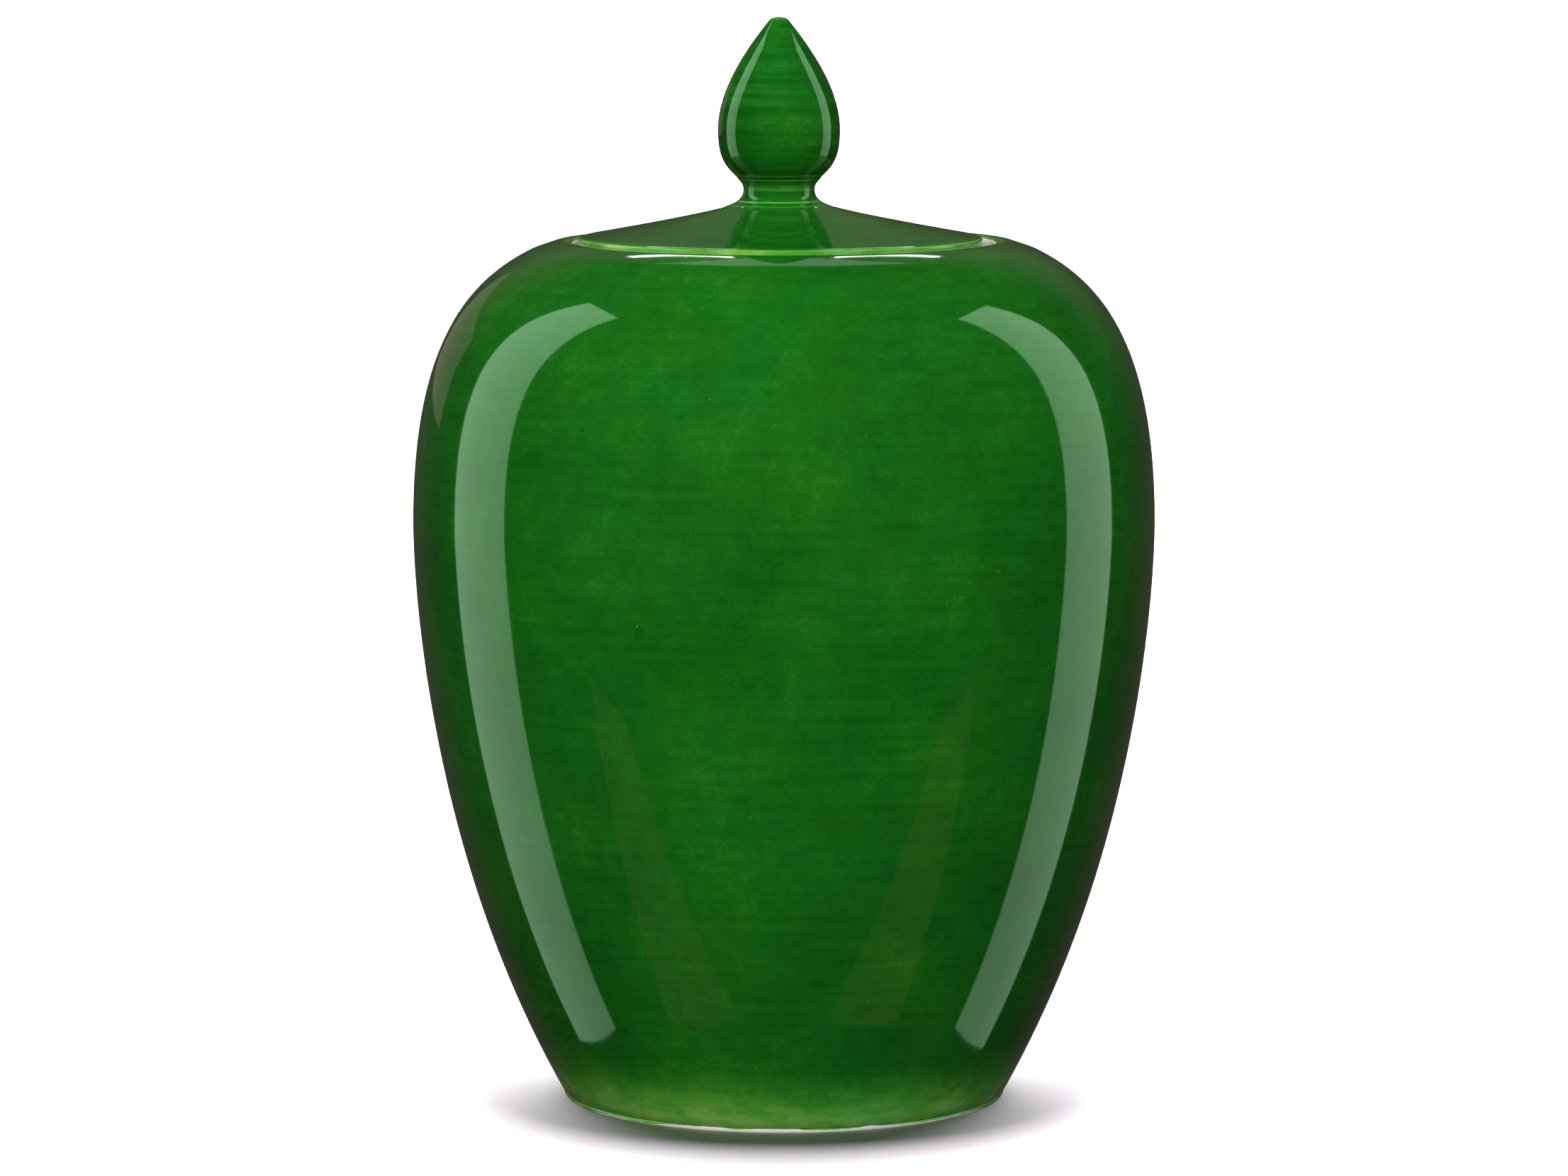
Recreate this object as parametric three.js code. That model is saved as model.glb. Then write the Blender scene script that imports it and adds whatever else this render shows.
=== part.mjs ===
// A tall ginger jar of glazed stoneware with a sunken, bud-topped lid.
// Millimetres, +Z up. The origin is the centre of the foot, on the surface that the jar stands on.
// Every piece is turned on a wheel, so each one is a closed outline revolved about its own axis.
// Outline points are [radius, height].
import * as THREE from 'three';

// Facets around a full turn, and points along each curved stretch of a large or a small outline.
const TURN_STEPS = 48;
const LARGE_CURVE_STEPS = 8;
const SMALL_CURVE_STEPS = 5;

// Gap left between pieces that touch.
const JOINT_GAP = 0.3;

// The jar's outer wall: foot, belly, shoulder and lip, with the pulls that bend the curves between them.
const FOOT_RADIUS = 98.3;
const FOOT_PULL = [163.3, 116.5];
const BELLY_RADIUS = 165.5;
const BELLY_HEIGHT = 258;
const BELLY_PULL_BELOW = 244.5;
const BELLY_PULL_ABOVE = 347;
const SHOULDER_PULL = [134.5, 370.3];
const SHOULDER = [106.5, 382.3];
const LIP_RADIUS = 97.4;
const LIP_HEIGHT = 383.8;
const LIP_ROUNDING = 3.8;
const MOUTH_RADIUS = 93.6;

// The jar's hollow.
const WALL = 8;
const INNER_BELLY_RADIUS = BELLY_RADIUS - WALL;
const INNER_SHOULDER_PULL = [135, 359];
const INNER_BELLY_PULL_ABOVE = 333;
const INNER_BELLY_PULL_BELOW = 190;
const INNER_FOOT_PULL = [136, 110];
const INNER_FOOT = [96, 32];
const FLOOR_TOP = 19;
const FLOOR_CORNER_RADIUS = 88;
const FLOOR_FLAT_RADIUS = 70;

// The foot.
const FOOT_WIDTH = 12;
const FOOT_SPLAY = 1.2;
const FOOT_RECESS = 7.5;
const BARE_FOOT_HEIGHT = 1.8;
const FOOT_STEP_RADIUS = 94.5;

// The ledge inside the mouth, which carries the lid.
const LEDGE_HEIGHT = 378;
const LEDGE_THICKNESS = 7.5;
const LEDGE_INNER_RADIUS = 84.5;
const LEDGE_CHAMFER = 1;

// The lid: its play in the mouth lets it sit a little to one side.
const LID_OFFSET = -1.7;
const LID_RADIUS = 90;
const LID_EDGE_TOP = 385.2;
const LID_EDGE_ROUNDING = 1.6;
const LID_EDGE_UNDERCUT = 2.3;
const LID_PLATE_THICKNESS = 8.6;
const CONE_OUTER_PULL = [60, 390.6];
const CONE_INNER_PULL = [36, 395.4];
const FLANGE_OUTER_RADIUS = 80.8;
const FLANGE_WIDTH = 5.4;
const FLANGE_DROP = 21;
const FLANGE_CHAMFER = 1.5;

// The finial, from its seat on the lid's cone to the tip.
const STEM_BASE_RADIUS = 22.4;
const STEM_BASE_HEIGHT = 399.7;
const WAIST_RADIUS = 15.9;
const WAIST_HEIGHT = 406.3;
const STEM_TOP_RADIUS = 19.3;
const STEM_TOP_HEIGHT = 411.9;
const BUD_RADIUS = 27.2;
const BUD_WIDEST_HEIGHT = 432.6;
const BUD_PULL_BELOW = 422.6;
const BUD_PULL_ABOVE = 449;
const TIP_PULL = [15.8, 465.5];
const TIP_RADIUS = 3.2;
const TIP_HEIGHT = 482.5;
const TIP_CROWN = 1.3;

const GLAZE = { color: '#1f6b22', roughness: 0.15 };
const BARE_CLAY = { color: '#d9d2c0', roughness: 0.85 };

// Revolves a closed outline, or one that starts and ends on the axis, about +Z.
// The outline runs up its outer side, so its faces point outwards.
function turned(outline, curveSteps) {
  const geometry = new THREE.LatheGeometry(outline.getPoints(curveSteps), TURN_STEPS);
  geometry.rotateX(Math.PI / 2);
  return geometry;
}

function piece(name, geometry, finish) {
  const mesh = new THREE.Mesh(geometry, new THREE.MeshStandardMaterial({ ...finish, metalness: 0 }));
  mesh.name = name;
  return mesh;
}

// Wall and floor: up the outside from the foot, over the lip, and down the inside to the floor.
function jarBody() {
  const outline = new THREE.Path();
  const bottom = BARE_FOOT_HEIGHT + JOINT_GAP;
  const recess = FOOT_RECESS + JOINT_GAP;
  const step = FOOT_STEP_RADIUS + JOINT_GAP;
  outline.moveTo(0, recess);
  outline.lineTo(step, recess);
  outline.lineTo(step, bottom);
  outline.lineTo(FOOT_RADIUS + FOOT_SPLAY, bottom);
  outline.bezierCurveTo(...FOOT_PULL, BELLY_RADIUS, BELLY_PULL_BELOW, BELLY_RADIUS, BELLY_HEIGHT);
  outline.bezierCurveTo(BELLY_RADIUS, BELLY_PULL_ABOVE, ...SHOULDER_PULL, ...SHOULDER);
  outline.lineTo(LIP_RADIUS, LIP_HEIGHT);
  outline.quadraticCurveTo(MOUTH_RADIUS, LIP_HEIGHT, MOUTH_RADIUS, LIP_HEIGHT - LIP_ROUNDING);
  outline.lineTo(MOUTH_RADIUS, LEDGE_HEIGHT - LEDGE_THICKNESS);
  outline.bezierCurveTo(
    ...INNER_SHOULDER_PULL,
    INNER_BELLY_RADIUS, INNER_BELLY_PULL_ABOVE,
    INNER_BELLY_RADIUS, BELLY_HEIGHT,
  );
  outline.bezierCurveTo(
    INNER_BELLY_RADIUS, INNER_BELLY_PULL_BELOW,
    ...INNER_FOOT_PULL,
    ...INNER_FOOT,
  );
  outline.quadraticCurveTo(FLOOR_CORNER_RADIUS, FLOOR_TOP, FLOOR_FLAT_RADIUS, FLOOR_TOP);
  outline.lineTo(0, FLOOR_TOP);
  return piece('jar_body', turned(outline, LARGE_CURVE_STEPS), GLAZE);
}

// Bare clay ring under the wall. The wall stands on its step, which leaves only a thin bare line in sight.
function footRing() {
  const inner = FOOT_RADIUS - FOOT_WIDTH;
  const draft = 3;
  const bevel = 0.6;
  const outline = new THREE.Path();
  outline.moveTo(inner, 0);
  outline.lineTo(FOOT_RADIUS - bevel, 0);
  outline.lineTo(FOOT_RADIUS + FOOT_SPLAY - JOINT_GAP, BARE_FOOT_HEIGHT);
  outline.lineTo(FOOT_STEP_RADIUS, BARE_FOOT_HEIGHT);
  outline.lineTo(FOOT_STEP_RADIUS, FOOT_RECESS);
  outline.lineTo(inner - draft, FOOT_RECESS);
  outline.closePath();
  return piece('foot_ring', turned(outline, SMALL_CURVE_STEPS), BARE_CLAY);
}

// Ledge around the inside of the mouth, with its underside swept into the wall.
function mouthGallery() {
  const outer = MOUTH_RADIUS - JOINT_GAP;
  const underside = LEDGE_HEIGHT - LEDGE_THICKNESS;
  const outline = new THREE.Path();
  outline.moveTo(outer, underside);
  outline.lineTo(outer, LEDGE_HEIGHT);
  outline.lineTo(LEDGE_INNER_RADIUS + LEDGE_CHAMFER, LEDGE_HEIGHT);
  outline.lineTo(LEDGE_INNER_RADIUS, LEDGE_HEIGHT - LEDGE_CHAMFER);
  outline.lineTo(LEDGE_INNER_RADIUS, LEDGE_HEIGHT - LEDGE_THICKNESS / 2);
  outline.quadraticCurveTo(LEDGE_INNER_RADIUS, underside, outer, underside);
  return piece('mouth_gallery', turned(outline, SMALL_CURVE_STEPS), BARE_CLAY);
}

// Low cone with a rounded edge, hollowed underneath.
function lidPlate() {
  const seat = LEDGE_HEIGHT + JOINT_GAP;
  const seatInner = FLANGE_OUTER_RADIUS - FLANGE_WIDTH - 3;
  const coneTop = STEM_BASE_HEIGHT - JOINT_GAP;
  const underside = coneTop - LID_PLATE_THICKNESS;
  const outline = new THREE.Path();
  outline.moveTo(0, underside);
  outline.lineTo(seatInner, seat);
  outline.lineTo(LID_RADIUS - LID_EDGE_UNDERCUT, seat);
  outline.quadraticCurveTo(LID_RADIUS, seat, LID_RADIUS, seat + LID_EDGE_UNDERCUT);
  outline.lineTo(LID_RADIUS, LID_EDGE_TOP - LID_EDGE_ROUNDING);
  outline.quadraticCurveTo(LID_RADIUS, LID_EDGE_TOP, LID_RADIUS - LID_EDGE_ROUNDING, LID_EDGE_TOP);
  outline.bezierCurveTo(...CONE_OUTER_PULL, ...CONE_INNER_PULL, STEM_BASE_RADIUS, coneTop);
  outline.lineTo(0, coneTop);
  return piece('lid_plate', turned(outline, SMALL_CURVE_STEPS), GLAZE);
}

// Ring that drops inside the ledge and keeps the lid from sliding off.
function lidFlange() {
  const outer = FLANGE_OUTER_RADIUS;
  const inner = outer - FLANGE_WIDTH;
  const bottom = LEDGE_HEIGHT - FLANGE_DROP;
  const outline = new THREE.Path();
  outline.moveTo(inner + FLANGE_CHAMFER, bottom);
  outline.lineTo(outer - FLANGE_CHAMFER, bottom);
  outline.lineTo(outer, bottom + FLANGE_CHAMFER);
  outline.lineTo(outer, LEDGE_HEIGHT);
  outline.lineTo(inner, LEDGE_HEIGHT);
  outline.lineTo(inner, bottom + FLANGE_CHAMFER);
  outline.closePath();
  return piece('lid_flange', turned(outline, SMALL_CURVE_STEPS), BARE_CLAY);
}

// Spool between the cone and the bud, flared to a sharp ridge at its foot.
function finialStem() {
  const outline = new THREE.Path();
  outline.moveTo(0, STEM_BASE_HEIGHT);
  outline.lineTo(STEM_BASE_RADIUS, STEM_BASE_HEIGHT);
  outline.bezierCurveTo(
    STEM_BASE_RADIUS - 4.5, STEM_BASE_HEIGHT + 2.2,
    WAIST_RADIUS, WAIST_HEIGHT - 3,
    WAIST_RADIUS, WAIST_HEIGHT,
  );
  outline.quadraticCurveTo(WAIST_RADIUS, WAIST_HEIGHT + 2.4, STEM_TOP_RADIUS, STEM_TOP_HEIGHT);
  outline.lineTo(0, STEM_TOP_HEIGHT);
  return piece('finial_stem', turned(outline, SMALL_CURVE_STEPS), GLAZE);
}

// Pointed bud, which the hand takes hold of.
function finialBud() {
  const foot = STEM_TOP_HEIGHT + JOINT_GAP;
  const outline = new THREE.Path();
  outline.moveTo(0, foot);
  outline.lineTo(STEM_TOP_RADIUS, foot);
  outline.bezierCurveTo(
    STEM_TOP_RADIUS + 5, foot + 5,
    BUD_RADIUS, BUD_PULL_BELOW,
    BUD_RADIUS, BUD_WIDEST_HEIGHT,
  );
  outline.bezierCurveTo(BUD_RADIUS, BUD_PULL_ABOVE, ...TIP_PULL, TIP_RADIUS, TIP_HEIGHT - TIP_CROWN);
  outline.quadraticCurveTo(TIP_RADIUS / 2, TIP_HEIGHT, 0, TIP_HEIGHT);
  return piece('finial_bud', turned(outline, SMALL_CURVE_STEPS), GLAZE);
}

const jar = new THREE.Group();
jar.add(jarBody(), footRing(), mouthGallery());

const lid = new THREE.Group();
lid.position.x = LID_OFFSET;
lid.add(lidPlate(), lidFlange(), finialStem(), finialBud());

const gingerJar = new THREE.Group();
gingerJar.add(jar, lid);

export default gingerJar;
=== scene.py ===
# %% [markdown]
# # A green crackle-glazed ginger jar
#
# This lesson dresses a plain design model of a big lidded jar. The design gives the seven pieces, their
# places and the way the lid lifts off. Here each piece is turned again as a fine, smooth form, and a
# transparent green glaze is laid over pale clay. Glaze is glass: it pools deep and dark on the flat walls,
# runs thin and pale over every sharp edge, and cracks all over as it cools.
#
# Sizes are in metres. A few are easier to read in millimetres, so those are multiplied by `MM`.

# %% Load the design
import math

import bmesh
import bpy
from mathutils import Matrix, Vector, noise
from mathutils.geometry import interpolate_bezier


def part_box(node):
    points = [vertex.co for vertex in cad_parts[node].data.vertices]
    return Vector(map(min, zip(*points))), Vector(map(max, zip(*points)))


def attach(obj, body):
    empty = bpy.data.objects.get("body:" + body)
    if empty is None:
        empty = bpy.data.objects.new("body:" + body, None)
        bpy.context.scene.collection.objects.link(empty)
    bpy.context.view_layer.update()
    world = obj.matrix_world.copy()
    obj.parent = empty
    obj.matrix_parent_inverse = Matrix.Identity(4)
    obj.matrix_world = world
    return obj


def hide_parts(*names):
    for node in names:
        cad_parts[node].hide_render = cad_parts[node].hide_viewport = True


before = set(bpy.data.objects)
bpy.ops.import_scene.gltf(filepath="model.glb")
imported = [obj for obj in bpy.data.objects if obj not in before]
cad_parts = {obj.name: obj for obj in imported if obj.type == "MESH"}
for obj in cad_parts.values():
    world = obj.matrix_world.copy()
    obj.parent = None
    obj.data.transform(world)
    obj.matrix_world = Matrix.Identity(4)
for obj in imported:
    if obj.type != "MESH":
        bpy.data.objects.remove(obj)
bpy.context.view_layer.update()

MM = 0.001

# %% [markdown]
# ## Camera
#
# A long lens a few metres away, as a catalogue photographer uses, keeps the jar's sides nearly parallel.
# It stands a little above the lid and looks down a few degrees, so the lid's cone and the front of the
# foot both show. The lens's height and distance are measured from the foot's centre.

# %% Set up the camera
CAMERA_DISTANCE = 2.8
CAMERA_HEIGHT = 0.5487
CAMERA_TILT = math.radians(6.534)
LENS_MM = 144.7

camera = bpy.data.objects.new("camera", bpy.data.cameras.new("camera"))
camera.data.sensor_width = 36
camera.data.lens = LENS_MM
camera.location = (0, -CAMERA_DISTANCE, CAMERA_HEIGHT)
camera.rotation_euler = (math.pi / 2 - CAMERA_TILT, 0, 0)
bpy.context.scene.collection.objects.link(camera)
bpy.context.scene.camera = camera
bpy.context.scene.view_settings.view_transform = "Standard"
print("camera", round(CAMERA_DISTANCE, 2), "m away")

# %% [markdown]
# ## Turning a form
#
# Every piece comes off a wheel, so the nearest thing in Blender is `bmesh.ops.spin`: draw half of the
# outline, then swing it once around the axis. The outline is a chain of straight runs and bezier bends,
# given as (radius, height) in millimetres, and `interpolate_bezier` fills in the bends.

# %% Helpers for outlines
TURN_STEPS = 192


def bend(start, pull_out, pull_in, end, points=24):
    """Points along one bezier bend, without its first point."""
    corners = [Vector((radius, 0, height)) for radius, height in (start, pull_out, pull_in, end)]
    return [(p.x, p.z) for p in interpolate_bezier(*corners, points)[1:]]


def run(start, end, points=8):
    """Points along a straight run, without its first point."""
    return [
        (start[0] + (end[0] - start[0]) * i / points, start[1] + (end[1] - start[1]) * i / points)
        for i in range(1, points + 1)
    ]


# %% [markdown]
# An outline that starts and ends on the axis makes a solid, and one that closes on itself makes a ring.
# A full spin with `use_merge` joins the last step to the first. Doubles are merged before the normals are
# recalculated, so that the poles close and every face points outwards.

# %% Turn an outline on the wheel
def turned(name, outline, axis_x=0.0, ring=False):
    """A smooth mesh turned from an outline in millimetres about a vertical axis at axis_x metres."""
    shape = bmesh.new()
    points = [shape.verts.new((axis_x + radius * MM, 0, height * MM)) for radius, height in outline]
    pairs = list(zip(points, points[1:]))
    if ring:
        pairs.append((points[-1], points[0]))
    edges = [shape.edges.new(pair) for pair in pairs]
    bmesh.ops.spin(
        shape, geom=points + edges, cent=(axis_x, 0, 0), axis=(0, 0, 1), dvec=(0, 0, 0),
        angle=2 * math.pi, steps=TURN_STEPS, use_merge=True, use_duplicate=False,
    )
    bmesh.ops.remove_doubles(shape, verts=shape.verts, dist=0.002 * MM)
    bmesh.ops.recalc_face_normals(shape, faces=shape.faces)
    for face in shape.faces:
        face.smooth = True
    mesh = bpy.data.meshes.new(name)
    shape.to_mesh(mesh)
    shape.free()
    piece = bpy.data.objects.new(name, mesh)
    bpy.context.scene.collection.objects.link(piece)
    piece["axis_x"] = axis_x
    print(name, len(mesh.polygons), "faces")
    return piece


# %% [markdown]
# A hand-thrown wall is never quite true. The fingers leave shallow rings, and the pot goes a little out of
# round as it dries. A tenth of a millimetre is enough: the eye finds it in the edges of reflections. Each
# point is also drawn in by the most that the noise could push it out, so the piece stays inside the design.

# %% Throw a piece slightly out of true
NEAR_AXIS = 2 * MM


def hand_thrown(piece, drift=0.10 * MM, drift_size=0.09, rings=0.012 * MM, ring_pitch=0.011):
    """Moves each point in or out by slow noise, and by faint rings that run round the pot."""
    centre_x = piece["axis_x"]
    for point in piece.data.vertices:
        out = Vector((point.co.x - centre_x, point.co.y, 0))
        if out.length < NEAR_AXIS:
            continue
        slow = noise.noise(point.co / drift_size)
        ring = noise.noise(Vector((0.3 * slow, 7.1, point.co.z / ring_pitch)))
        point.co += out.normalized() * (slow * drift + ring * rings - drift - rings)


# %% [markdown]
# The mouth isn't quite level either: it sinks by half a millimetre towards the front, and the lid with it.
# The tilt fades out down the shoulder, so the belly and the foot stay true.

# %% Ease from one height or radius to another
def fade(value, full, none):
    """1 at `full` and past it, 0 at `none` and past it, easing in between."""
    share = max(0.0, min(1.0, (value - none) / (full - none)))
    return share * share * (3 - 2 * share)


# %% Dip the mouth
MOUTH_DIP = 0.0055
DIPPED_FROM = 0.25
FULLY_DIPPED = 0.375


def dip_mouth(piece):
    """Lowers the front and raises the back of everything near the mouth, more the higher it is."""
    for point in piece.data.vertices:
        share = fade(point.co.z, FULLY_DIPPED, DIPPED_FROM)
        point.co.z += point.co.y * MOUTH_DIP * share


# %% [markdown]
# The finish needs to know where glaze runs thin and where clay is left bare. Both are stored on the mesh
# as attributes, painted by a small function of radius and height, which is how a potter thinks of it:
# "thin over the edge, bare where the lid sits".

# %% Paint a layer on a piece
def paint(piece, layer, amount):
    """Stores amount(radius, height), both in millimetres, at every point of the piece."""
    values = piece.data.attributes.new(layer, "FLOAT", "POINT").data
    centre_x = piece["axis_x"]
    for point, value in zip(piece.data.vertices, values):
        radius = math.hypot(point.co.x - centre_x, point.co.y) / MM
        value.value = max(0.0, min(1.0, amount(radius, point.co.z / MM)))


# %% [markdown]
# ## The jar's wall
#
# The wall springs from a foot not much wider than half the belly, swells to its widest two thirds of the
# way up, and turns in over a round shoulder to a soft lip. The belly's radius and the lip's height are
# read from the design. The shoulder's last bends change slope slowly, because a reflected light is as wide
# as the curve that shows it is slow.

# %% Draw and turn the wall
jar_low, jar_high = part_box("jar_body")
BELLY = jar_high.x / MM
LIP_HEIGHT = jar_high.z / MM
GLAZE_BOTTOM = jar_low.z / MM
foot_low, foot_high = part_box("foot_ring")
FOOT = foot_high.x / MM
BELLY_HEIGHT = 258
MOUTH = 93.6
INNER_BELLY = BELLY - 8
FLOOR_BELOW = foot_low.z / MM + 7.8
FLOOR_ABOVE = 19
FOOT_SOCKET = 94.8

wall_foot = (FOOT + 0.4, GLAZE_BOTTOM + 0.5)
wall_belly = (BELLY, BELLY_HEIGHT)
wall_shoulder = (113.3, 379.2)
lip_slope = (102.0, LIP_HEIGHT - 0.6)
lip_outer = (98.6, LIP_HEIGHT - 0.35)
lip_top = (96.6, LIP_HEIGHT - 0.3)
mouth_top = (MOUTH, LIP_HEIGHT - 3.2)
mouth_bottom = (MOUTH, 370.5)
inner_belly = (INNER_BELLY, BELLY_HEIGHT)
inner_foot = (96, 32)
floor_edge = (70, FLOOR_ABOVE)

wall = [(0.0, FLOOR_BELOW), (40.0, FLOOR_BELOW), (FOOT_SOCKET, FLOOR_BELOW)]
wall += [(FOOT_SOCKET, GLAZE_BOTTOM), (FOOT - 0.2, GLAZE_BOTTOM)]
wall += run(wall[-1], wall_foot, 2)
wall += bend(wall_foot, (163.3, 116.5), (BELLY, 244.5), wall_belly, 96)
wall += bend(wall_belly, (BELLY, 339.9), (139.3, 366.15), wall_shoulder, 66)
wall += bend(wall_shoulder, (111.3, 380.2), (104.9, LIP_HEIGHT - 1.5), lip_slope, 24)
wall += bend(lip_slope, (101.2, LIP_HEIGHT - 0.38), (100.2, LIP_HEIGHT - 0.35), lip_outer, 14)
wall += bend(lip_outer, (97.8, LIP_HEIGHT - 0.32), (97.3, LIP_HEIGHT - 0.3), lip_top, 4)
wall += bend(lip_top, (94.8, LIP_HEIGHT - 0.3), (MOUTH, LIP_HEIGHT - 1.4), mouth_top, 10)
wall += run(mouth_top, mouth_bottom, 8)
wall += bend(mouth_bottom, (135, 359), (INNER_BELLY, 333), inner_belly, 30)
wall += bend(inner_belly, (INNER_BELLY, 190), (136, 110), inner_foot, 30)
wall += bend(inner_foot, (91, 23), (82, FLOOR_ABOVE), floor_edge, 10)
wall += [(35.0, FLOOR_ABOVE), (0.0, FLOOR_ABOVE)]

glazed_jar = turned("glazed_jar", wall)
hand_thrown(glazed_jar)
dip_mouth(glazed_jar)

# %% [markdown]
# Glaze runs off the lip and pulls away towards the foot, so both are painted thin. Inside the mouth it was
# wiped off, down to the ledge, or the lid would stick.

# %% Paint the wall
RUN_OFF_TOP = 38
LEDGE_LEVEL = 370


def wall_thinness(radius, height):
    """Thin towards the foot and over the lip, and a little thin under the floor."""
    under_floor = radius <= 96 and height <= 18
    foot = 0.2 if under_floor else fade(height, 2, RUN_OFF_TOP)
    lip = 0.75 * fade(radius, 97.0, 99.5) * fade(height, LEDGE_LEVEL + 1, LEDGE_LEVEL)
    return max(foot, lip)


def wall_bareness(radius, height):
    """Bare on the inside of the mouth, from the ledge up."""
    return fade(radius, MOUTH + 0.3, MOUTH + 1.2) * fade(height, LEDGE_LEVEL + 2, LEDGE_LEVEL - 2)


paint(glazed_jar, "thin", wall_thinness)
paint(glazed_jar, "bare", wall_bareness)
print("glaze starts", round(GLAZE_BOTTOM, 2), "mm above the table")

# %% [markdown]
# ## The foot ring
#
# The jar stands on a ring of bare clay. Wax keeps the glaze off it, or the pot would weld itself to the
# kiln shelf. Only a thin pale line of it shows in front. It takes the same finish as the wall, painted
# thin, so that the ragged end of the glaze can run across both.

# %% Turn the foot ring
FOOT_INNER = FOOT - 13
FOOT_HEIGHT = 7.5
RIM_HEIGHT = foot_low.z / MM + 1.8
FOOT_TENON = 94.5
ring_outline = run((FOOT_INNER, 1.2), (FOOT_INNER + 1.2, 0), 3)
ring_outline += run(ring_outline[-1], (FOOT - 1.3, 0), 6)
ring_outline += bend(ring_outline[-1], (FOOT - 0.8, 0), (FOOT - 0.5, 0.2), (FOOT - 0.4, 0.7), 4)
ring_outline += run(ring_outline[-1], (FOOT, RIM_HEIGHT), 3)
ring_outline += run(ring_outline[-1], (FOOT_TENON, RIM_HEIGHT), 3)
ring_outline += run(ring_outline[-1], (FOOT_TENON, FOOT_HEIGHT), 3)
ring_outline += run(ring_outline[-1], (FOOT_INNER - 1.5, FOOT_HEIGHT), 4)
ring_outline += run(ring_outline[-1], (FOOT_INNER, 1.2), 4)[:-1]
bare_foot = turned("bare_foot", ring_outline, ring=True)
paint(bare_foot, "thin", lambda radius, height: 1.0)

# %% [markdown]
# ## The ledge inside the mouth
#
# The lid rests on a ledge a few millimetres below the lip. It is left bare, so that the lid doesn't stick,
# and its underside sweeps back into the wall.

# %% Turn the ledge
ledge_low, ledge_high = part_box("mouth_gallery")
LEDGE_TOP = ledge_high.z / MM
LEDGE_OUTER = ledge_high.x / MM
LEDGE_INNER = 84.5
LEDGE_BOTTOM = ledge_low.z / MM
ledge_outline = run((LEDGE_OUTER, LEDGE_BOTTOM), (LEDGE_OUTER, LEDGE_TOP), 4)
ledge_outline += run(ledge_outline[-1], (LEDGE_INNER + 1.2, LEDGE_TOP), 6)
ledge_outline += bend(
    ledge_outline[-1], (LEDGE_INNER + 0.5, LEDGE_TOP), (LEDGE_INNER, LEDGE_TOP - 0.5),
    (LEDGE_INNER, LEDGE_TOP - 1.2), 6,
)
ledge_outline += run(ledge_outline[-1], (LEDGE_INNER, LEDGE_TOP - 3.7), 2)
ledge_outline += bend(
    ledge_outline[-1], (LEDGE_INNER, LEDGE_BOTTOM + 1), (LEDGE_INNER + 3, LEDGE_BOTTOM),
    (LEDGE_OUTER, LEDGE_BOTTOM), 10,
)[:-1]
lid_ledge = turned("lid_ledge", ledge_outline, ring=True)
dip_mouth(lid_ledge)

# %% [markdown]
# ## The lid
#
# The lid is a low cone that hollows slightly as it climbs, with a thick rounded edge. It sits with a
# little play in the mouth, so its axis is a shade to one side, and the design says by how much. The edge
# is bent rather than bevelled, because glaze thins most where the curve is tightest and the bend decides
# how wide the pale band is. The band is painted almost fully thin, which is partly thin glaze and partly
# painted light, keeping its lower part pale in the shade under the lip. A last slow bend above the edge is
# what shows a white line there.

# %% Draw and turn the lid's plate
plate_low, plate_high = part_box("lid_plate")
LID_X = (plate_low.x + plate_high.x) / 2
LID = (plate_high.x - plate_low.x) / 2 / MM
SEAT = plate_low.z / MM
CONE_TOP = plate_high.z / MM
EDGE_TOP = 385.2
STEM_FOOT = 22.4
STEM_SEAT = CONE_TOP - 0.5

plate = [(0.0, CONE_TOP - 8.6), (34.0, CONE_TOP - 15.4), (72.4, SEAT)]
plate += run(plate[-1], (LID - 2.6, SEAT), 6)
plate += bend(plate[-1], (LID - 1, SEAT), (LID - 0.1, SEAT + 1.2), (LID, SEAT + 3), 8)
plate += run(plate[-1], (LID, EDGE_TOP - 1.4), 4)
plate += bend(
    plate[-1], (LID, EDGE_TOP - 0.7), (LID - 0.3, EDGE_TOP - 0.4), (LID - 0.8, EDGE_TOP - 0.24), 8,
)
plate += bend(
    plate[-1], (LID - 1.1, EDGE_TOP - 0.13), (LID - 1.6, EDGE_TOP + 0.045), (LID - 1.9, EDGE_TOP + 0.135), 8,
)
plate += bend(
    plate[-1], (LID - 2.3, EDGE_TOP + 0.25), (LID - 2.7, EDGE_TOP + 0.34), (LID - 3.4, EDGE_TOP + 0.48), 6,
)
plate += bend(plate[-1], (60, 390.5), (36, 395.1), (STEM_FOOT, STEM_SEAT), 60)
plate += [(12.0, STEM_SEAT), (0.0, STEM_SEAT)]

glazed_lid = turned("glazed_lid", plate, LID_X)
hand_thrown(glazed_lid, rings=0.02 * MM, ring_pitch=0.002)
dip_mouth(glazed_lid)
# partly painted light: the edge face is painted almost fully thin, so its lower part stays pale in the lip's
# shade
paint(glazed_lid, "thin", lambda radius, height: max(
    0.96 * fade(radius, LID - 0.7, LID - 1.5) * fade(height, SEAT + 1.5, SEAT + 0.5),
    0.2 * fade(radius, LID - 1.5, LID - 6),
))
paint(glazed_lid, "wheel", lambda radius, height: fade(radius, LID - 1.0, LID - 3.0))
paint(glazed_lid, "bare", lambda radius, height: fade(height, SEAT + 0.2, SEAT + 1.0) * fade(radius, 72, 68))

# %% [markdown]
# ## The locating ring under the lid
#
# A ring under the plate drops inside the ledge and keeps the lid from sliding off.

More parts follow.
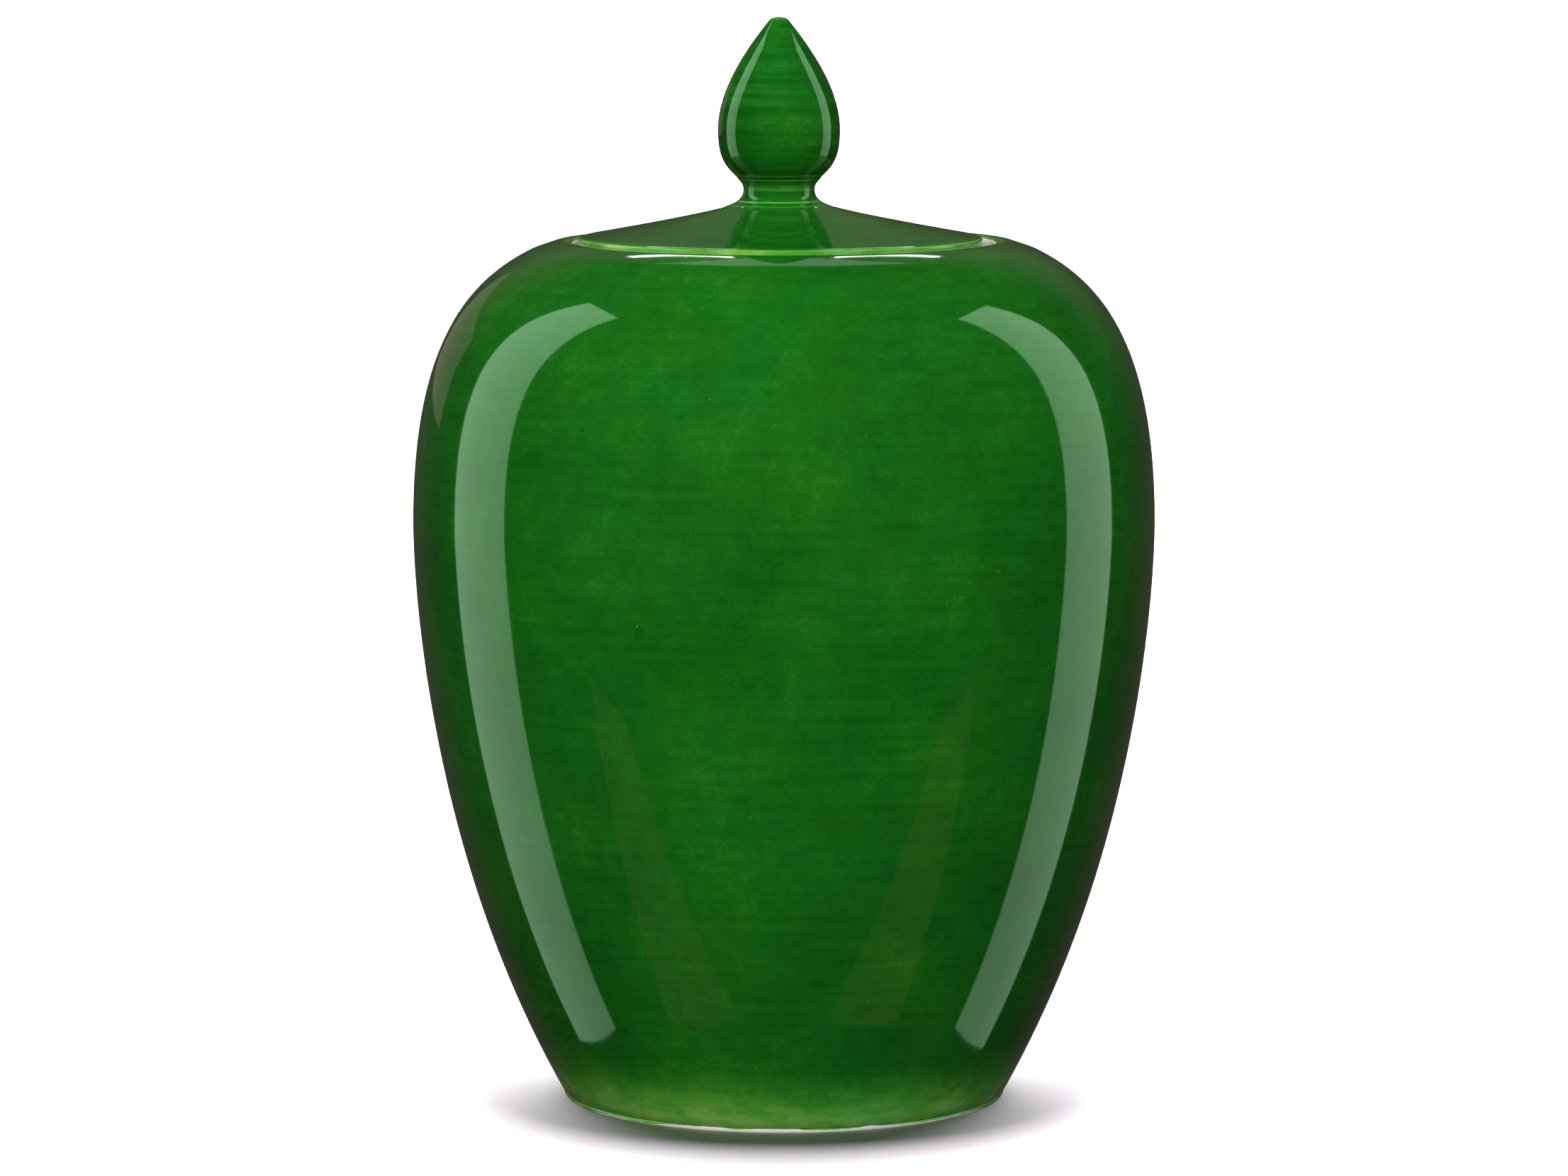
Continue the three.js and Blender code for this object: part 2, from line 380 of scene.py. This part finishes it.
# %% Turn the locating ring
flange_low, flange_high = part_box("lid_flange")
FLANGE = (flange_high.x - flange_low.x) / 2 / MM
FLANGE_INNER = FLANGE - 5.4
FLANGE_TOP = flange_high.z / MM
FLANGE_BOTTOM = flange_low.z / MM
flange = run((FLANGE_INNER, FLANGE_TOP), (FLANGE_INNER, FLANGE_BOTTOM + 2), 5)
flange += bend(
    flange[-1], (FLANGE_INNER, FLANGE_BOTTOM + 0.6), (FLANGE_INNER + 1, FLANGE_BOTTOM),
    (FLANGE_INNER + 2.2, FLANGE_BOTTOM), 6,
)
flange += run(flange[-1], (FLANGE - 2.2, FLANGE_BOTTOM), 2)
flange += bend(
    flange[-1], (FLANGE - 1, FLANGE_BOTTOM), (FLANGE, FLANGE_BOTTOM + 0.6), (FLANGE, FLANGE_BOTTOM + 2), 6,
)
flange += run(flange[-1], (FLANGE, FLANGE_TOP), 5)
flange += run(flange[-1], (FLANGE_INNER, FLANGE_TOP), 2)
locating_ring = turned("locating_ring", flange, LID_X, ring=True)
dip_mouth(locating_ring)

# %% [markdown]
# ## The finial
#
# The finial is a spool and a pointed bud. Two fine ridges ring the foot of the spool, two more its top, and
# one the foot of the bud. They are real raised lines, less than a tenth of a millimetre high.

# %% Helper for ridges
RIDGE_HEIGHT = 0.08
RIDGE_STEPS = 8


def ridge(place, next_place, width):
    """A small raised round line along the way from one outline point towards the next."""
    along = Vector(next_place) - Vector(place)
    along.normalize()
    out = Vector((along.y, -along.x))
    line = []
    for i in range(1, RIDGE_STEPS + 1):
        rise = math.sin(math.pi * i / RIDGE_STEPS) ** 2
        line.append(tuple(Vector(place) + along * width * i / RIDGE_STEPS + out * RIDGE_HEIGHT * rise))
    return line


# %% [markdown]
# The spool flares out of the lid's slope, narrows to a waist and widens again under the bud. It starts at a
# point of the lid's own outline, so the two slopes meet without a step. It also runs a little way down into
# the lid and up into the bud, as clay joined with slip does, so no dark joint shows.

# %% Turn the spool
stem_low, stem_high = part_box("finial_stem")
STEM_ROOT = stem_low.z / MM - 2.4
STEM_HEAD = stem_high.z / MM + 0.5
WAIST = 15.9
FLARE = 26
UPPER_CONE = 390
FINIAL_X = LID_X - 0.5 * MM

cone_points = [point for point in plate if point[1] > UPPER_CONE]
flare = min(cone_points, key=lambda point: abs(point[0] - FLARE))
stem = [(0.0, STEM_ROOT), (12.0, STEM_ROOT), (flare[0], flare[1] - 0.25)]
stem += bend(stem[-1], (24.7, flare[1] + 0.25), (23.2, 398.9), (22.2, 399.25), 8)
stem += ridge(stem[-1], (21.5, 399.55), 0.7)
stem += bend(stem[-1], (20.6, 399.95), (19.4, 400.45), (18.8, 400.85), 6)
stem += ridge(stem[-1], (18.2, 401.4), 0.8)
stem += bend(stem[-1], (16.6, 402.7), (WAIST, 404.2), (WAIST, 406.2), 16)
stem += bend(stem[-1], (WAIST, 407.4), (16.3, 408.4), (16.7, 409.0), 10)
stem += ridge(stem[-1], (17.3, 409.7), 0.7)
stem += run(stem[-1], (17.9, 410.4), 2)
stem += ridge(stem[-1], (18.5, 411.1), 0.8)
stem += run(stem[-1], (19.4, STEM_HEAD), 3)
stem += [(10.0, STEM_HEAD), (0.0, STEM_HEAD)]
knob_stem = turned("knob_stem", stem, FINIAL_X)

# %% [markdown]
# The bud swells from a narrow foot, is widest below its middle, and draws in to a blunt point. Two long
# bends and a short one for the tip make its outline. It was shaped by hand, so it is a little out of true.

# %% Turn the bud
bud_low, bud_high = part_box("finial_bud")
BUD = (bud_high.x - bud_low.x) / 2 / MM
BUD_BOTTOM = bud_low.z / MM
TIP = bud_high.z / MM
BUD_WIDEST = 432.6
bud = [(0.0, BUD_BOTTOM), (10.0, BUD_BOTTOM), (19.5, BUD_BOTTOM)]
bud += ridge(bud[-1], (20.2, 413.0), 0.8)
bud += bend(bud[-1], (25.4, 417.7), (BUD, 422.5), (BUD, BUD_WIDEST), 36)
bud += bend(bud[-1], (BUD, 449.1), (16.6, 465.8), (5.0, TIP - 2.2), 60)
bud += bend(bud[-1], (4.2, TIP - 1.0), (3.2, TIP - 0.1), (0.0, TIP - 0.1), 12)
knob_bud = turned("knob_bud", bud, FINIAL_X)
hand_thrown(knob_bud, drift=0.06 * MM, drift_size=0.03, rings=0.02 * MM, ring_pitch=0.004)

# %% [markdown]
# Glaze breaks pale on every crest. Each pale line below is a height in millimetres, how thin the glaze is
# there, how far the line keeps that, and how far away it is gone. The last, broad line is on no crest: it
# is a painted highlight, a pale band round the spool's upper waist where the light falls on it.

# %% Paint the finial
PALE_LINES_AND_HIGHLIGHT = (
    (399.4, 0.7, 0.1, 0.3),
    (401.15, 0.9, 0.15, 0.45),
    (409.35, 0.4, 0.2, 0.4),
    (410.75, 0.85, 0.15, 0.45),
    (412.8, 0.6, 0.3, 0.8),
    # painted highlight: a broad pale band on the waist, not a crest of thinner glaze
    (407.6, 0.5, 0.8, 2.6),
)


def finial_thinness_and_highlight(radius, height):
    """Thin on the pale lines and at the tip, with a painted highlight band on the waist."""
    lines = [thin * fade(abs(height - line), full, none) for line, thin, full, none in PALE_LINES_AND_HIGHLIGHT]
    tip = 0.45 * fade(height, TIP - 0.6, TIP - 4)
    return max(*lines, tip)


for part in (knob_stem, knob_bud):
    dip_mouth(part)
    # on the finial the thin layer also carries the painted highlight band on the waist
    paint(part, "thin", finial_thinness_and_highlight)
    paint(part, "wheel", lambda radius, height: 1.0)
print("pale lines on the finial:", len(PALE_LINES_AND_HIGHLIGHT))

# %% [markdown]
# ## The glaze
#
# A copper-green glaze is coloured glass over pale clay, so its colour depends on how thick it lies. One
# number, the glaze's depth, carries the whole look: soft clouds, mottling, throwing lines and thin places
# all add to it or take from it, and a single colour ramp turns depth into colour. It is all made of nodes,
# and a few helpers keep a tree of nodes as short to write as a sum.

# %% Helpers for nodes
def blank_finish(name):
    """A material with an empty tree of nodes, and that tree."""
    material = bpy.data.materials.new(name)
    material.use_nodes = True
    material.node_tree.nodes.clear()
    return material, material.node_tree


def add(tree, kind, inputs=None, **settings):
    """A new node, with its settings and its inputs: a number, a colour, or another node's output."""
    made = tree.nodes.new("ShaderNode" + kind)
    for name, value in settings.items():
        setattr(made, name, value)
    for name, value in (inputs or {}).items():
        if isinstance(value, bpy.types.NodeSocket):
            tree.links.new(value, made.inputs[name])
        else:
            made.inputs[name].default_value = value
    return made


def calc(tree, operation, *values, clamp=False):
    """The result of one sum."""
    return add(tree, "Math", dict(enumerate(values)), operation=operation, use_clamp=clamp).outputs[0]


def mixed(tree, share, first, second, **settings):
    """A colour that goes from the first to the second as share goes from 0 to 1."""
    return add(tree, "Mix", {0: share, 6: first, 7: second}, data_type="RGBA", **settings).outputs[2]


def between(tree, value, low, high, to_low=0.0, to_high=1.0):
    """Eases value from the range low to high into the range to_low to to_high."""
    return add(tree, "MapRange", {
        "Value": value, "From Min": low, "From Max": high, "To Min": to_low, "To Max": to_high,
    }, interpolation_type="SMOOTHSTEP").outputs[0]


# %% [markdown]
# Patterns are sized in millimetres on Object coordinates, so they stay on the pot when it moves. Noise makes
# the clouds, and Voronoi cells make the cracks and the pinholes: the edges of the cells are the crack
# network, and the middles of a few of them are the holes.

# %% Helpers for patterns
def millimetres(tree, stretch=(1, 1, 1)):
    """Object coordinates in millimetres, squeezed or stretched along each axis."""
    place = add(tree, "TexCoord").outputs["Object"]
    scale = tuple(1000 / s for s in stretch)
    return add(tree, "Mapping", {"Vector": place, "Scale": scale}).outputs[0]


def clouds(tree, size, detail=3.0, stretch=(1, 1, 1), distortion=0.0, roughness=0.5):
    """Soft noise from 0 to 1, with features about size millimetres across."""
    made = add(tree, "TexNoise", {
        "Vector": millimetres(tree, stretch), "Scale": 1 / size, "Detail": detail,
        "Roughness": roughness, "Distortion": distortion,
    })
    return made.outputs[0]


def cracks(tree, size, width, wander):
    """1 on the lines of a crack network with cells about size millimetres across, 0 elsewhere."""
    drift = add(tree, "TexNoise", {"Vector": millimetres(tree), "Scale": 1 / size, "Detail": 2.0}).outputs[1]
    place = add(tree, "VectorMath", {0: drift, 1: (size * wander,) * 3}, operation="MULTIPLY").outputs[0]
    place = add(tree, "VectorMath", {0: millimetres(tree), 1: place}, operation="ADD").outputs[0]
    cells = {"Vector": place, "Scale": 1 / size}
    edge = add(tree, "TexVoronoi", cells, feature="DISTANCE_TO_EDGE").outputs[0]
    return between(tree, edge, 0.0, width / size, 1.0, 0.0)


def pinholes(tree, spacing, size, share):
    """1 in small round pits, in a share of the cells of a loose grid."""
    cells = add(tree, "TexVoronoi", {"Vector": millimetres(tree), "Scale": 1 / spacing}, feature="F1")
    pit = between(tree, cells.outputs["Distance"], size / spacing * 0.5, size / spacing, 1.0, 0.0)
    chance = add(tree, "SeparateColor", {0: cells.outputs["Color"]}).outputs[0]
    chosen = calc(tree, "LESS_THAN", chance, share)
    return calc(tree, "MULTIPLY", pit, chosen)


# %% [markdown]
# The depth starts as an even coat. Clouds, mottling, throwing lines and grain sway it up and down, and each
# crack takes a little off. Noise that is stretched sideways and squeezed upwards turns into lines that run
# round the pot. Where a piece is painted thin, about three quarters of the coat is taken away.

# %% Work out how deep the glaze lies
COAT = 0.83
CLOUD_SWAY = 0.55
MOTTLE_SWAY = 0.30
LINE_SWAY = 0.22
GRAIN_SWAY = 0.34
WHEEL_SWAY = 0.5
CRACK_LOSS = 0.11
THIN_LOSS = 0.78


def painted(tree, layer):
    """What was painted on the piece in this layer."""
    return add(tree, "Attribute", attribute_name=layer).outputs["Fac"]


def swayed(tree, pattern, amount):
    """A pattern from 0 to 1, centred on nothing, for adding to the depth."""
    return calc(tree, "MULTIPLY", calc(tree, "SUBTRACT", pattern, 0.5), amount)


def glaze_depth(tree, crackle):
    """How deep the glaze lies, from 0 for the barest film to 1 for a pool."""
    lines = clouds(tree, 6, 3, stretch=(9, 9, 0.55))
    sways = (
        swayed(tree, clouds(tree, 55, 4, roughness=0.55), CLOUD_SWAY),
        swayed(tree, clouds(tree, 7, 3, roughness=0.6), MOTTLE_SWAY),
        swayed(tree, lines, LINE_SWAY),
        swayed(tree, clouds(tree, 1.0, 3, roughness=0.65), GRAIN_SWAY),
    )
    depth = COAT
    for sway in sways:
        depth = calc(tree, "ADD", depth, sway)
    depth = calc(tree, "SUBTRACT", depth, calc(tree, "MULTIPLY", crackle, CRACK_LOSS))
    swirl = clouds(tree, 9, 4, stretch=(1.8, 1.8, 0.8), distortion=0.35, roughness=0.6)
    thin = calc(tree, "MULTIPLY", painted(tree, "thin"), between(tree, swirl, 0.25, 0.75, 0.78, 1.12))
    kept = calc(tree, "SUBTRACT", 1.0, calc(tree, "MULTIPLY", thin, THIN_LOSS))
    streak = calc(tree, "MULTIPLY", swayed(tree, lines, WHEEL_SWAY), painted(tree, "wheel"))
    return calc(tree, "ADD", calc(tree, "MULTIPLY", depth, kept), streak, clamp=True)


# %% [markdown]
# The colour ramp runs from a pale film through yellow-green to bottle green. The whole glaze leans a little
# to yellow in some places and to blue in others. Pale specks of unmelted glaze float in it. The pinholes
# are painted dark, a painted shade for the little light that comes back out of them.

# %% Turn depth into colour
DEPTH_COLOURS = (
    (0.00, (0.44, 0.52, 0.27)),
    (0.16, (0.17, 0.45, 0.085)),
    (0.32, (0.080, 0.33, 0.033)),
    (0.52, (0.028, 0.205, 0.014)),
    (0.75, (0.0085, 0.130, 0.0070)),
    (1.00, (0.0032, 0.085, 0.0050)),
)
YELLOW_LEAN = (1.15, 1, 0.85, 1)
BLUE_LEAN = (0.87, 1, 1.2, 1)
SPECK_COLOUR = (0.45, 0.60, 0.35, 1)
PIT_SHADE = (0.004, 0.02, 0.004, 1)


def glass_colour(tree, depth, pits):
    """The colour of the glaze at a depth, with its specks, and its pinholes painted dark as painted shade."""
    ramp = add(tree, "ValToRGB", {0: depth})
    stops = ramp.color_ramp.elements
    for place, _ in DEPTH_COLOURS[1:-1]:
        stops.new(place)
    for stop, (place, colour) in zip(stops, DEPTH_COLOURS):
        stop.position = place
        stop.color = (*colour, 1)
    lean = mixed(tree, between(tree, clouds(tree, 38, 3), 0.3, 0.7), YELLOW_LEAN, BLUE_LEAN)
    glass = mixed(tree, 1.0, ramp.outputs[0], lean, blend_type="MULTIPLY")
    specks = calc(tree, "MULTIPLY", pinholes(tree, 11.0, 0.32, 0.35), 0.5)
    glass = mixed(tree, specks, glass, SPECK_COLOUR)
    # painted shade: the pinholes are coloured almost black for the light that doesn't come back out of them
    return mixed(tree, calc(tree, "MULTIPLY", pits, 0.75), glass, PIT_SHADE)


# %% [markdown]
# The glaze line at the foot is uneven: in places the glaze reaches the table, and in front it stops a
# millimetre or two short. The line's height is the sum of a rise at the front, a slow wander round the
# foot, and a fine raggedness. The wall and the foot ring share the line, so it runs across both.

# %% Wipe the glaze off
FOREMOST = -94
FRONT_END = -74
FRONT_RISE = 1.15
RAGGEDNESS = 0.6


def wiped_clay(tree):
    """1 where clay shows: below the glaze line at the foot, and where the piece is painted bare."""
    place = add(tree, "SeparateXYZ", {0: millimetres(tree)})
    front = between(tree, place.outputs[1], FOREMOST, FRONT_END, FRONT_RISE, 0.0)
    wander = between(tree, clouds(tree, 30, 3, stretch=(1, 1, 100)), 0.3, 0.7, -0.2, 0.8)
    ragged = calc(tree, "MULTIPLY", clouds(tree, 2.5, 2), RAGGEDNESS)
    line = calc(tree, "ADD", calc(tree, "ADD", front, wander), ragged)
    below = between(tree, calc(tree, "SUBTRACT", line, place.outputs[2]), -0.15, 0.15)
    inside = between(tree, calc(tree, "MULTIPLY", painted(tree, "bare"), clouds(tree, 1.6, 3)), 0.28, 0.42)
    return calc(tree, "MAXIMUM", below, inside)


# %% [markdown]
# Now the finish can be put together: glaze or clay by the wiped share, glossy or matt with it, and the
# faintest relief at the cracks and pinholes, which a fingertip would hardly feel.

# %% Build the glaze and clay finish
CRACK_CELL = 4.2
CRACK_WIDTH = 0.15
CRACK_WANDER = 0.6
WIPED_CLAY_DARK = (0.66, 0.62, 0.54, 1)
WIPED_CLAY_LIGHT = (0.86, 0.84, 0.80, 1)
GLAZE_ROUGHNESS = 0.045
PIT_ROUGHNESS = 0.3
WIPED_ROUGHNESS = 0.75
GLAZE_RELIEF = 0.001 * MM


def glaze_over_clay(name):
    """Green crackle glaze where it lies, and bare clay where it was wiped off."""
    material, tree = blank_finish(name)
    crackle = cracks(tree, CRACK_CELL, CRACK_WIDTH, CRACK_WANDER)
    crackle = calc(tree, "MULTIPLY", crackle, between(tree, clouds(tree, 25, 2), 0.35, 0.65, 0.3, 1.0))
    pits = pinholes(tree, 8.0, 0.42, 0.30)
    glaze = glass_colour(tree, glaze_depth(tree, crackle), pits)
    clay = mixed(tree, clouds(tree, 3, 4), WIPED_CLAY_DARK, WIPED_CLAY_LIGHT)
    wiped = wiped_clay(tree)
    colour = mixed(tree, wiped, glaze, clay)

    glossy = between(tree, pits, 0, 1, GLAZE_ROUGHNESS, PIT_ROUGHNESS)
    gloss = add(tree, "Mix", {0: wiped, 2: glossy, 3: WIPED_ROUGHNESS}, data_type="FLOAT").outputs[0]
    relief = calc(tree, "ADD", calc(tree, "MULTIPLY", crackle, -1.0), calc(tree, "MULTIPLY", pits, -2.0))
    bump = add(tree, "Bump", {"Height": relief, "Distance": GLAZE_RELIEF, "Strength": 1.0}).outputs[0]
    surface = add(tree, "BsdfPrincipled", {"Base Color": colour, "Roughness": gloss, "Normal": bump})
    add(tree, "OutputMaterial", {"Surface": surface.outputs[0]})
    return material


green_glaze = glaze_over_clay("green crackle glaze")
print("glaze nodes:", len(green_glaze.node_tree.nodes))

# %% [markdown]
# ## Bare clay
#
# Where no glaze goes, the stoneware is off-white and matt, with a fine grain, a few iron specks and the
# faint rings of the turning tool.

# %% Build the bare clay finish
CLAY_DARK = (0.50, 0.45, 0.36, 1)
CLAY_LIGHT = (0.72, 0.68, 0.60, 1)
IRON_SPECK = (0.18, 0.11, 0.06, 1)
CLAY_ROUGHNESS = 0.78
CLAY_RELIEF = 0.05 * MM


def bare_clay_finish(name):
    """Matt off-white clay with grain, specks and turning marks."""
    material, tree = blank_finish(name)
    tone = mixed(tree, clouds(tree, 4, 4), CLAY_DARK, CLAY_LIGHT)
    colour = mixed(tree, pinholes(tree, 5.0, 0.35, 0.35), tone, IRON_SPECK)
    relief = calc(tree, "ADD", clouds(tree, 0.5, 3), clouds(tree, 3, 2, stretch=(20, 20, 0.3)))
    bump = add(tree, "Bump", {"Height": relief, "Distance": CLAY_RELIEF, "Strength": 0.8}).outputs[0]
    surface = add(tree, "BsdfPrincipled", {
        "Base Color": colour, "Roughness": CLAY_ROUGHNESS, "Normal": bump,
    })
    add(tree, "OutputMaterial", {"Surface": surface.outputs[0]})
    return material


bare_clay = bare_clay_finish("bare clay")
print("clay nodes:", len(bare_clay.node_tree.nodes))

# %% [markdown]
# ## Putting the pieces on the frame
#
# Each piece stands for one piece of the design and moves with the jar or with the lid. Its row names one of
# the design's two slots, though nothing below sets it. The foot ring's row names the slot for bare clay, but
# the ring wears the glaze finish, for the sake of the line where the glaze ends.

# %% Dress and attach every piece
DRESSED = (
    (glazed_jar, "jar", "jar_body", "green_glaze", green_glaze),
    (bare_foot, "jar", "foot_ring", "bare_clay", green_glaze),
    (lid_ledge, "jar", "mouth_gallery", "bare_clay", bare_clay),
    (glazed_lid, "lid", "lid_plate", "green_glaze", green_glaze),
    (locating_ring, "lid", "lid_flange", "bare_clay", bare_clay),
    (knob_stem, "lid", "finial_stem", "green_glaze", green_glaze),
    (knob_bud, "lid", "finial_bud", "green_glaze", green_glaze),
)
for piece, body, node, slot, finish in DRESSED:
    piece.data.materials.append(finish)
    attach(piece, body)
    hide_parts(node)
print("dressed", len(DRESSED), "pieces")

# %% [markdown]
# ## The table
#
# A plain pale table, so brightly lit that it burns out to white everywhere but in the shade of the foot. Its
# colour leans a little to magenta, which cancels the green light that the pot throws on it. It is hidden
# from reflections and from light that bounces off other things.

# %% Lay the table
TABLE_RADIUS = 30
TABLE_COLOUR = (0.6, 0.555, 0.6, 1)
table_shape = bmesh.new()
bmesh.ops.create_circle(table_shape, cap_ends=True, segments=128, radius=TABLE_RADIUS)
table_mesh = bpy.data.meshes.new("table")
table_shape.to_mesh(table_mesh)
table_shape.free()
table = bpy.data.objects.new("table", table_mesh)
bpy.context.scene.collection.objects.link(table)
table_finish = bpy.data.materials.new("white table")
table_finish.use_nodes = True
table_surface = table_finish.node_tree.nodes["Principled BSDF"]
table_surface.inputs["Base Color"].default_value = TABLE_COLOUR
table_surface.inputs["Roughness"].default_value = 0.9
table.data.materials.append(table_finish)
table.visible_glossy = False
table.visible_diffuse = False
print("table", 2 * TABLE_RADIUS, "m across")

# %% [markdown]
# ## Light
#
# The pot's own colour is lit by one broad soft key from the front and above, which no reflection sees. The
# table has lamps of its own, one almost straight above and one low behind. Either alone burns it out to
# white, so a shadow is left only where the jar hides both, close in front of the foot. Light linking keeps
# the key off the table and the table's lamps off the jar.

# %% Helpers for lamps
TABLE_ONLY = bpy.data.collections.new("lit by the table lamps")
TABLE_ONLY.objects.link(table)
NOT_TABLE = bpy.data.collections.new("kept from the key")
NOT_TABLE.objects.link(table)
NOT_TABLE.collection_objects[0].light_linking.link_state = "EXCLUDE"


def lamp(name, towards, strength, spread, lights):
    """A soft far-off lamp in the direction `towards`, which lights only the given collection."""
    data = bpy.data.lights.new(name, "SUN")
    data.energy = strength
    data.angle = math.radians(spread)
    stand = bpy.data.objects.new(name, data)
    stand.rotation_euler = Vector(towards).to_track_quat("Z", "Y").to_euler()
    stand.visible_glossy = False
    stand.light_linking.receiver_collection = lights
    bpy.context.scene.collection.objects.link(stand)
    print(name, "spreads over", spread, "degrees")


# %% [markdown]
# A sun lamp is just as bright at any distance, so the table burns out evenly, right to its far edge. A sun
# of strength pi shows a white matt surface that faces it as exactly white, so strengths are given in pi.

# %% Set the key and the table lamps
lamp("key", (-0.09, -0.754, 0.657), 1.29 * math.pi, 60, NOT_TABLE)
lamp("over_table", (0, -0.06, 1), 2.2 * math.pi, 19, TABLE_ONLY)
lamp("behind_table", (0, 0.9, 0.42), 4.8 * math.pi, 90, TABLE_ONLY)

# %% [markdown]
# Glaze is a mirror for whatever stands around it, and a glowing card that only reflections see is the
# simplest thing to stand there. Two tall strips at the sides, reaching from beside the jar to about half a
# metre behind it, show in it as clean pale bars. They are tinted green because some of their light sinks
# into the glaze, and is coloured before it comes back. A dim warm panel stands behind, on the left.

# %% Helper for glowing cards
def glowing_card(name, corners, glow, tint, foot_glow=1.0):
    """A flat card that only reflections see. Its glow fades to foot_glow of itself at the bottom."""
    shape = bmesh.new()
    shape.faces.new([shape.verts.new(corner) for corner in corners])
    mesh = bpy.data.meshes.new(name)
    shape.to_mesh(mesh)
    shape.free()
    material, tree = blank_finish(name)
    heights = [corner[2] for corner in corners]
    up = add(tree, "SeparateXYZ", {0: add(tree, "TexCoord").outputs["Object"]}).outputs[2]
    strength = between(tree, up, min(heights), max(heights), foot_glow * glow, glow)
    emission = add(tree, "Emission", {"Color": (*tint, 1), "Strength": strength})
    add(tree, "OutputMaterial", {"Surface": emission.outputs[0]})
    mesh.materials.append(material)
    card = bpy.data.objects.new(name, mesh)
    card.visible_camera = False
    card.visible_diffuse = False
    card.visible_shadow = False
    bpy.context.scene.collection.objects.link(card)
    print(name, "glows at", glow)


# %% Stand up the strips and the panel
STRIP_TINT = (0.62, 1.0, 0.64)
WARM_GREY = (1.0, 0.86, 0.68)
LEFT_STRIP = ((-1.2, 0.56, 1.92), (-1.2, -0.01, 1.96), (-1.2, -0.01, -1.0), (-1.2, 0.60, -0.88))
RIGHT_STRIP = ((1.2, 0.52, 1.80), (1.2, 0.02, 1.86), (1.2, 0.02, -0.98), (1.2, 0.58, -0.91))
PANEL = ((-1.15, 1.11, 0.77), (-0.57, 1.49, 0.83), (-0.57, 1.49, 0.34), (-1.15, 1.11, 0.34))
glowing_card("left_strip", LEFT_STRIP, 3.3, STRIP_TINT, 0.48)
glowing_card("right_strip", RIGHT_STRIP, 3.1, STRIP_TINT, 0.46)
glowing_card("grey_panel", PANEL, 0.26, WARM_GREY)

# %% [markdown]
# High behind the jar hang two slanting bright lines, the edges of the overhead light, with a softer board
# above them. Only a few slopes find them: they draw the white lines along the lid's edge and the lip. The
# board's height is set by the two angles, seen from the level of the lip, between which it should lie.

# %% Hang the bright lines and the board
BACK = 1.6
LIP_LEVEL = 0.383
BOARD_ANGLES = (41.5, 51)
BRIGHT_LINE = ((0.36, 1.45), (0.14, 1.77), (0.14, 1.71), (0.36, 1.39))
board_low, board_high = (LIP_LEVEL + BACK * math.tan(math.radians(angle)) for angle in BOARD_ANGLES)
BOARD = ((-0.2, BACK, board_high), (0.2, BACK, board_high), (0.42, BACK, board_low), (-0.42, BACK, board_low))
for side in (-1, 1):
    corners = [(side * across, BACK, up) for across, up in BRIGHT_LINE]
    glowing_card(f"back_line_{side + 1}", corners, 8.0, (1.0, 1.0, 1.0))
glowing_card("back_board", BOARD, 0.65, (0.85, 1.0, 0.85))

# %% [markdown]
# Low in front, two dim warm cards stand for the edges of whatever is under the table. They show as a faint
# wide U low on the belly.

# %% Place the dim cards
LOW_CARD = ((0.84, -0.71, -0.20), (0.95, -0.55, -0.12), (0.93, -0.58, -1.10), (0.40, -1.00, -1.22))
for side in (-1, 1):
    corners = [(side * across, depth, up) for across, depth, up in LOW_CARD]
    glowing_card(f"low_card_{side + 1}", corners, 0.17, (1.0, 0.78, 0.40))

# %% [markdown]
# Everything else the glaze could mirror is dim and warm: a faint backdrop behind the jar, brighter where it
# is higher, and almost nothing in front. Matt surfaces get a little even grey light from all round. The
# world shader tells the kinds of ray apart with Light Path, so the camera itself sees plain white.

# %% Build the dim surroundings
BACKDROP = 0.04
HIGH_BACKDROP = 0.095
ROOM = 0.02
FILL = (0.13, 0.13, 0.13, 1)
WHITE = (1, 1, 1, 1)
world = bpy.data.worlds.new("studio")
bpy.context.scene.world = world
world.use_nodes = True
sky = world.node_tree
sky.nodes.clear()
rays = add(sky, "LightPath")
axes = add(sky, "SeparateXYZ", {0: add(sky, "TexCoord").outputs["Generated"]})
behind = between(sky, axes.outputs[1], 0.55, 0.98)
raised = between(sky, axes.outputs[2], 0.10, 0.42)
low_part = calc(sky, "MULTIPLY", behind, BACKDROP)
high_part = calc(sky, "MULTIPLY", behind, calc(sky, "MULTIPLY", raised, HIGH_BACKDROP))
dim = calc(sky, "ADD", calc(sky, "ADD", low_part, high_part), ROOM)
warm = mixed(sky, 1.0, (*WARM_GREY, 1), dim, blend_type="MULTIPLY")
seen = mixed(sky, rays.outputs["Is Glossy Ray"], FILL, warm)
seen = mixed(sky, rays.outputs["Is Camera Ray"], seen, WHITE)
background = add(sky, "Background", {"Color": seen, "Strength": 1.0})
add(sky, "OutputWorld", {"Surface": background.outputs[0]})
print("world nodes:", len(sky.nodes))
